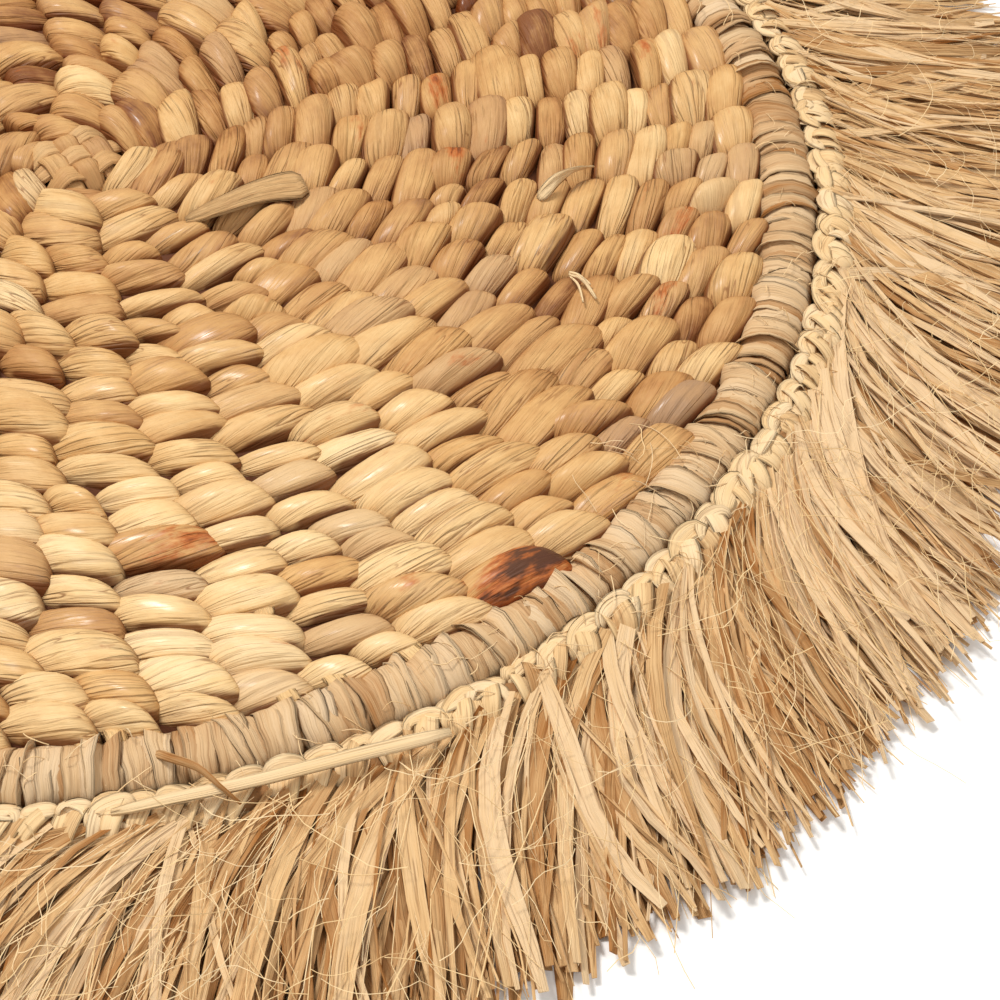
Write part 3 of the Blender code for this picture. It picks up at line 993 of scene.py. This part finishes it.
class PLACEMAT_OT_heading(Operator):
    """Knot the loops of raffia on the heading cord"""
    bl_idname = "placemat.heading"
    bl_label = "Heading knots"

    def execute(self, context):
        border, colours = context.scene.placemat_border, context.scene.placemat_colours
        middle, half_width = (HEADING_INNER + HEADING_OUTER) / 2, (HEADING_OUTER - HEADING_INNER) / 2
        centre, half_height = (FRINGE_TOP + HEADING_UNDER) / 2, (FRINGE_TOP - HEADING_UNDER) / 2
        covered = 0.7 * MM
        core = oval_ring(middle, half_width - covered, half_height - covered, centre, 12)
        # The heading's core takes the same painted shade as the border's core, in the gaps between the
        # knots.
        shade = bpy.data.materials["Shaded raffia"]
        put(core, "heading_core", shade, replaces=("fringe",))

        # Each knot has four strands: two that run out into the fringe, and two loops over them.
        knots, layers = border.knots, 4
        strands = Strands(rod_template(6, 10), knots * layers, 47)
        near, between, t = strands.near, strands.between, strands.t
        knot, layer = np.divmod(np.arange(strands.count)[:, None], layers)
        loop, second = layer >= 2, layer == 3
        start = knot_azimuth(knot + strands.shared(knot, 0, 0.07), knots)
        room = knot_azimuth(knot + 0.5, knots) - knot_azimuth(knot - 0.5, knots)
        room = room * knots / TURN
        lean = leans_at(start) * 0.9 + strands.shared(knot, 0, 0.20)
        side = np.where(layer == 0, -1.0, 1.0) * strands.draws.choice((-1.0, 1.0), knots)[knot]
        half = room * border.loop_width / 2 * np.where(loop, between(1.0, 1.35), between(0.35, 0.9))
        skew = near(0, 0.5) * MM + np.where(second, 1.1 * side, 0.0) * MM
        inner = middle - half_width + (0.5 + 0.9 * loop) * MM + near(0, 0.35) * MM
        outer = np.where(
            loop, middle + (between(-2.2, 0.2) + 1.4 * second) * MM, middle + half_width + 1.6 * MM
        )
        loft = between(-0.3, 0.4) * MM + np.where(loop, 0.5, 0.3 * side) * MM
        crossing = near(0.0, 0.6) * MM
        past_cord = 0.75

        def path(t):
            turn = np.pi * t
            shut = np.sin(np.clip(turn, 0, np.pi)) ** 0.9
            over = outer - (outer - inner) * np.where(loop, shut, t / past_cord)
            away = (over - middle) / half_width
            dip = np.where(loop, 0.88, 1.0) * np.clip(away, -1.4, 1.4) ** 2
            height = centre + (half_height + loft) * np.sqrt(np.maximum(1 - dip, 0.02))
            tuck = np.where(loop, 1.5 * np.abs(2 * t - 1) ** 4, np.maximum(t - past_cord, 0) * 14)
            radius = np.where(loop, over + skew * np.cos(turn), np.maximum(over, inner))
            spread = side * (0.55 + 0.75 * np.clip(t / past_cord, 0, 1)) * half * 0.75
            shift = np.where(loop, -half * np.cos(turn), spread + crossing * (t - 0.4))
            shift = shift + np.tan(lean) * (radius - inner) * np.where(loop, 0.5, 0.8)
            return ring_point(radius, start + shift / middle, height - tuck * MM)

        widths = between(1.3, 2.2) * MM * np.where(loop, 1.16 - 0.40 * second, 1.0) * room**0.6
        taper = np.where(loop, 0.45 + 0.70 * np.sin(np.pi * t), 0.55 + 0.6 * np.sin(np.pi * t**0.8))
        strands.follow(path, widths * taper, KNOT_THICKNESS, roll=near(0, 0.26))
        strands.give_grain(0.02, widths)
        strands.give(tone=np.clip(near(0.30, 0.14) - 0.10 * loop, 0.02, 0.8))
        material = raffia_finish("Knotted raffia", colours.cream, colours.straw_dark, 0.62, 0.40)
        put(strands.mesh, "heading_knots", material)
        return {"FINISHED"}


def leans_at(azimuths):
    """Return the fringe's lean in radians at azimuths in radians."""
    return np.radians(np.interp(np.degrees(azimuths), *zip(*LEANS), period=360))


def shade_at(azimuths):
    """Return how much darker the fringe's raffia is at azimuths in radians."""
    return np.interp(np.degrees(azimuths), *zip(*FRINGE_SHADES), period=360)


def reach_at(azimuths, fringe):
    """Return the radius that the tips reach: the fringe is longer on one side."""
    near = np.cos(azimuths - math.radians(12)) - math.cos(math.radians(34))
    return fringe.reach + fringe.longer * np.clip(near / 0.14, 0, 1)


def fall(strands, azimuths, leans, roots, reaches, high, low, sway, hump, curl_spread):
    """Return the path of strands that leave the cord, drop to the floor and lie on it."""
    phase, curl = strands.between(0, TURN), strands.near(0, curl_spread) * MM
    ahead, aside = (
        ring_point(1.0, azimuths + leans + turn, 0.0)[..., :2] for turn in (0, math.pi / 2)
    )
    start = ring_point(roots, azimuths, 0.0)[..., :2]
    miss, near = roots * np.sin(leans), roots * np.cos(leans)
    run = np.sqrt(np.maximum(reaches**2 - miss**2, 0)) - near
    bow = 7.5 * MM * np.sin(leans)

    def path(t):
        share = np.clip(t, 0, 1)
        wave = sway * (np.sin(4.5 * share + phase) - np.sin(phase)) * share**0.8
        wave = wave + bow * np.sin(np.pi * share**0.8) + curl * np.sin(13 * share + 2 * phase) * share
        flat = start + ahead * (run * t)[..., None] + aside * wave[..., None]
        drop = np.clip(share / 0.80, 0, 1)
        height = high + (low - high) * (1 - (1 - drop) ** 1.6)
        height = height + hump * np.sin(np.pi * share) * np.sin(phase * 3 + 6 * share)
        return np.concatenate((flat, np.maximum(height, 0.2 * MM)[..., None]), axis=-1)

    return path, run


def wander(hairs, starts, radii, headings, lengths, spreads, height_at):
    """Let hairs stray in curves over what lies below them; spreads says how they vary."""
    turns, ripples = (hairs.near(0, spread) for spread in spreads[:2])
    lofts, arches, widths = (hairs.between(*limits) * MM for limits in spreads[2:])
    steps = np.linspace(0, 1, 9)
    course = headings + turns * steps + ripples * np.sin(9 * steps + lofts / MM)
    ahead = np.stack((np.cos(course), np.sin(course)), axis=-1) * (lengths / 8)[..., None]
    flat = np.cumsum(ahead, axis=1) + ring_point(radii, starts, 0.0)[..., :2]

    def path(t):
        x, y = (
            np.stack([np.interp(row, steps, line) for row, line in zip(t, flat[..., part])])
            for part in (0, 1)
        )
        over = lofts + arches * np.sin(np.pi * np.clip(t, 0, 1))
        return np.stack((x, y, height_at(np.hypot(x, y)) + over), axis=-1)

    hairs.follow(path, widths, widths * HAIR_ROUNDNESS)
    hairs.give_grain(lengths, widths)


def lay_blades(border, fringe, material):
    """Lay the fringe's blades, which hang in four locks from each knot."""
    locks_in_knot = 4
    blades = Strands(rod_template(3, 7), border.knots * fringe.blades, 59)
    near, between, t = blades.near, blades.between, blades.t
    number = np.arange(blades.count)[:, None]
    knot = number // fringe.blades
    lock = knot * locks_in_knot + number % locks_in_knot
    knot_lean, lock_lean = blades.shared(knot, 0, 7.5), blades.shared(lock, 0, 9.0)
    lock_aside = blades.draws.uniform(-0.26, 0.26, border.knots * locks_in_knot)[lock]
    lock_tone = blades.shared(lock, 0, 0.14) + blades.shared(knot, 0, 0.08)
    lock_reach = blades.shared(lock, 0, 1.3)

    # The lowest blades of the pile are broad, short and straight, and fill the ground.
    pile = between(0, 1)
    under = pile < 0.25
    aside = np.where(under, between(-0.5, 0.5), lock_aside)
    azimuths = knot_azimuth(knot + 0.25 + aside + between(-0.10, 0.10), border.knots)
    stray = np.where(blades.picked(0.15), 24, 6.5)
    leans = leans_at(azimuths) + np.radians(
        np.where(under, 0.3, 1.0) * (knot_lean + lock_lean) + near(0, 1) * stray
    )
    high = (3.2 + 5.4 * pile) * MM
    low = (0.2 + 4.8 * pile**1.3) * MM
    reaches = reach_at(azimuths, fringe) + (lock_reach + near(-0.6, 1.9)) * MM
    reaches = np.where(blades.picked(0.16), reaches - between(2, 14) * MM, reaches)
    reaches = np.where(under, reaches - between(2, 9) * MM, reaches)
    sway = near(0, 2.4) * MM
    roots = HEADING_OUTER - 3.2 * MM + between(-0.8, 0.8) * MM
    path, run = fall(blades, azimuths, leans, roots, reaches, high, low, sway, 0.7 * MM, 0.45)
    lognormal = blades.draws.lognormal(-0.05, 0.52, (blades.count, 1))
    widths = fringe.blade_width / 2 * np.clip(lognormal, 0.25, 2.2)
    widths = widths * np.where(under, 2.7, 1.0)
    roll = near(0, 0.30) + near(0, 0.7) * t * np.where(under, 0.2, 1.0)
    swell = (0.58 + 0.55 * np.sin(np.pi * np.clip(0.14 + 0.84 * t, 0, 1))) * (1 - 0.20 * t**6)
    blades.follow(path, widths * swell, 0.08 * MM + widths * 0.12, roll=roll, lowest=CLEARANCE)
    blades.give_grain(run, widths)
    # The lower blades of the pile and every blade near its root get a darker tone: painted shade under
    # the pile and under the knots.
    tone = near(0.27, 0.16) + lock_tone + 0.53 * (1 - pile) ** 1.4 + shade_at(azimuths)
    blades.give(tone=np.clip(tone, 0.0, 0.66) + 0.16 * (1 - np.clip(t * 4, 0, 1)))
    put(blades.mesh, "fringe_blades", material, smooth=False)


def lay_hairs(fringe, material):
    """Lay the fine hairs that run with the fringe."""
    hairs = Strands(rod_template(3, 5), fringe.hairs, 67)
    near, between = hairs.near, hairs.between
    azimuths = between(0, TURN)
    astray = np.where(hairs.picked(0.30), 32, 10)
    leans = np.clip(leans_at(azimuths) + np.radians(near(0, 1) * astray), -1.25, 1.1)
    high, low = between(4.0, 9.6) * MM, between(0.3, 7.0) * MM
    reaches = reach_at(azimuths, fringe) + np.minimum(near(-2.5, 4.0), 4.5) * MM
    sway = near(0, 5.0) * MM
    roots = HEADING_OUTER + between(-2.5, 2.5) * MM
    path, run = fall(hairs, azimuths, leans, roots, reaches, high, low, sway, 1.8 * MM, 1.6)
    widths = between(0.06, 0.15) * MM
    hairs.follow(path, widths, widths * HAIR_ROUNDNESS)
    hairs.give_grain(run, widths)
    hairs.give(tone=np.clip(near(0.30, 0.25), 0.0, 1.0))
    put(hairs.mesh, "fringe_hairs", material, smooth=False)


def lay_curls(fringe, material):
    """Lay the loose curly hairs on top of the fringe."""
    curls = Strands(rod_template(3, 8), fringe.curls, 71)
    starts = curls.between(0, TURN)
    reaches = reach_at(starts, fringe)
    radii = HEADING_OUTER + (reaches - HEADING_OUTER) * curls.between(-0.08, 0.85)
    headings = starts + leans_at(starts) + np.radians(curls.near(0, 42))
    lengths = curls.between(8, 30) * MM

    def height_at(radius):
        out = np.clip((radius - HEADING_OUTER) / (reaches - HEADING_OUTER), 0, 1)
        return (9.2 - 3.6 * out**1.3) * MM

    spreads = (1.0, 0.35, (-0.8, 1.6), (0, 2.2), (0.05, 0.12))
    wander(curls, starts, radii, headings, lengths, spreads, height_at)
    curls.give(tone=np.clip(curls.near(0.25, 0.25), 0.0, 1.0))
    put(curls.mesh, "fringe_curls", material, smooth=False)


class PLACEMAT_OT_fringe(Operator):
    """Hang the fringe's blades and fine hairs from the knots"""
    bl_idname = "placemat.fringe"
    bl_label = "Fringe"

    def execute(self, context):
        fringe, colours = context.scene.placemat_fringe, context.scene.placemat_colours
        broad = raffia_finish("Fringe raffia", colours.straw, colours.straw_dark, 0.66, 0.48)
        fine = raffia_finish("Fine raffia", colours.hair, colours.straw, 0.60, 0.0)
        lay_blades(context.scene.placemat_border, fringe, broad)
        lay_hairs(fringe, fine)
        lay_curls(fringe, fine)
        return {"FINISHED"}


class PLACEMAT_OT_fuzz(Operator):
    """Fray short fibres out of the border and the heading"""
    bl_idname = "placemat.fuzz"
    bl_label = "Border fuzz"

    def execute(self, context):
        fuzz = Strands(rod_template(3, 6), context.scene.placemat_border.fuzz, 83)
        near, between = fuzz.near, fuzz.between
        tuft = fuzz.picked(0.011)
        starts = np.where(tuft, np.radians(near(-50, 2.0)), between(0, TURN))
        radii = np.where(tuft, between(152, 168), 167 + 22 * between(0, 1) ** 0.8) * MM
        headings = starts + np.radians(near(0, 55))
        lengths = np.where(tuft, between(7, 16), between(2.5, 9)) * MM

        def height_at(radius):
            return np.interp(radius, *zip(*BORDER_TOPS)) * MM

        spreads = (0.9, 0.2, (-0.5, 0.6), (0.3, 1.8), (0.07, 0.15))
        wander(fuzz, starts, radii, headings, lengths, spreads, height_at)
        fuzz.give(tone=between(0.0, 0.45))
        material = bpy.data.materials["Knotted raffia"]
        put(fuzz.mesh, "border_fuzz", material, smooth=False)
        return {"FINISHED"}


class PLACEMAT_OT_loose_strips(Operator):
    """Lay the loose strips and stubs that stick out of the weave"""
    bl_idname = "placemat.loose_strips"
    bl_label = "Loose strips"

    def execute(self, context):
        stubs = []
        for radius, azimuth in STUBS:
            stops = tuple((radius + out, azimuth + on, height) for out, on, height in STUB_STOPS)
            stubs.append(Ribbon(stops, 4.2, 0.40, 0.1, 15, 0, 0.0))
        leaf = leaf_finish(context.scene.placemat_colours)
        lay_ribbons("loose_leaves", (*LOOSE_LEAVES, *stubs), leaf)
        raffia = bpy.data.materials["Knotted raffia"]
        lay_ribbons("loose_raffia", LOOSE_RAFFIA, raffia)
        return {"FINISHED"}


class PLACEMAT_OT_declare_cloth(Operator):
    """Do nothing: no piece is declared soft, and no flat size of the mat is given"""
    bl_idname = "placemat.declare_cloth"
    bl_label = "Flat size"

    def execute(self, context):
        return {"FINISHED"}


def area_light(name, place, size, power, colour=(1, 1, 1)):
    """Hang a square soft light that faces the mat's middle."""
    lamp = bpy.data.lights.new(name, "AREA")
    lamp.shape, lamp.size, lamp.energy, lamp.color = "SQUARE", size, power, colour
    light = bpy.data.objects.new(name, lamp)
    bpy.context.scene.collection.objects.link(light)
    light.location = place
    light.rotation_euler = (-Vector(place)).to_track_quat("-Z", "Y").to_euler()


class PLACEMAT_OT_stage(Operator):
    """Set the pale floor, the soft lights and the camera"""
    bl_idname = "placemat.stage"
    bl_label = "Studio stage"

    def execute(self, context):
        scene = context.scene
        shape = bmesh.new()
        bmesh.ops.create_grid(shape, x_segments=2, y_segments=2, size=FLOOR_SIZE)
        floor = bpy.data.objects.new("studio_floor", finished_mesh(shape, "studio_floor"))
        scene.collection.objects.link(floor)
        colour = (*scene.placemat_colours.floor, 1.0)
        floor.data.materials.append(Finish("Studio floor").surface(
            {"Base Color": colour, "Roughness": 0.9, "Specular IOR Level": 0.1}
        ))

        scene.world = bpy.data.worlds.new("Studio")
        scene.world.use_nodes = True
        sky = scene.world.node_tree.nodes["Background"]
        sky.inputs["Color"].default_value = (1.0, 0.99, 0.97, 1.0)
        sky.inputs["Strength"].default_value = 0.52
        area_light("key", (-0.60, 0.52, 1.67), 0.48, 31, (1.0, 0.985, 0.96))
        area_light("fill", (0.9, -0.9, 1.3), 1.6, 8)

        camera = bpy.data.cameras.new("camera")
        camera.lens, camera.sensor_width = CAMERA_LENS, 36.0
        camera.clip_start, camera.clip_end = 0.01, 50.0
        stand = bpy.data.objects.new("camera", camera)
        scene.collection.objects.link(stand)
        axes = Matrix(CAMERA_AXES).transposed().to_4x4()
        stand.matrix_world = Matrix.Translation(CAMERA_PLACE) @ axes
        scene.camera = stand
        scene.view_settings.view_transform = "Standard"
        return {"FINISHED"}


class PLACEMAT_PT_sidebar(Panel):
    """The placemat's sizes, colours and pieces"""
    bl_idname = "PLACEMAT_PT_sidebar"
    bl_label = "Placemat"
    bl_space_type = "VIEW_3D"
    bl_region_type = "UI"
    bl_category = "Placemat"

    def draw(self, context):
        for name in GROUPS:
            box = self.layout.box()
            settings = getattr(context.scene, name)
            for field in settings.bl_rna.properties:
                if field.identifier not in ("rna_type", "name"):
                    box.prop(settings, field.identifier)
        for operator in OPERATORS:
            self.layout.operator(operator.bl_idname)


GROUPS = {
    "placemat_twining": TwiningSettings,
    "placemat_border": BorderSettings,
    "placemat_fringe": FringeSettings,
    "placemat_colours": ColourSettings,
}
OPERATORS = (
    PLACEMAT_OT_foundation,
    PLACEMAT_OT_twined_rounds,
    PLACEMAT_OT_underside,
    PLACEMAT_OT_middle_weave,
    PLACEMAT_OT_border_coil,
    PLACEMAT_OT_heading,
    PLACEMAT_OT_fringe,
    PLACEMAT_OT_fuzz,
    PLACEMAT_OT_loose_strips,
    PLACEMAT_OT_declare_cloth,
    PLACEMAT_OT_stage,
)
CLASSES = (*GROUPS.values(), *OPERATORS, PLACEMAT_PT_sidebar)


def register():
    """Register the classes and their settings."""
    for part in CLASSES:
        bpy.utils.register_class(part)
    for name, group in GROUPS.items():
        setattr(bpy.types.Scene, name, PointerProperty(type=group))


def unregister():
    """Remove the settings and the classes."""
    for name in GROUPS:
        delattr(bpy.types.Scene, name)
    for part in reversed(CLASSES):
        bpy.utils.unregister_class(part)


def main():
    """Make every piece in order."""
    register()
    for operator in OPERATORS:
        name = operator.bl_idname.split(".")[1]
        getattr(bpy.ops.placemat, name)()


if __name__ == "__main__":
    main()
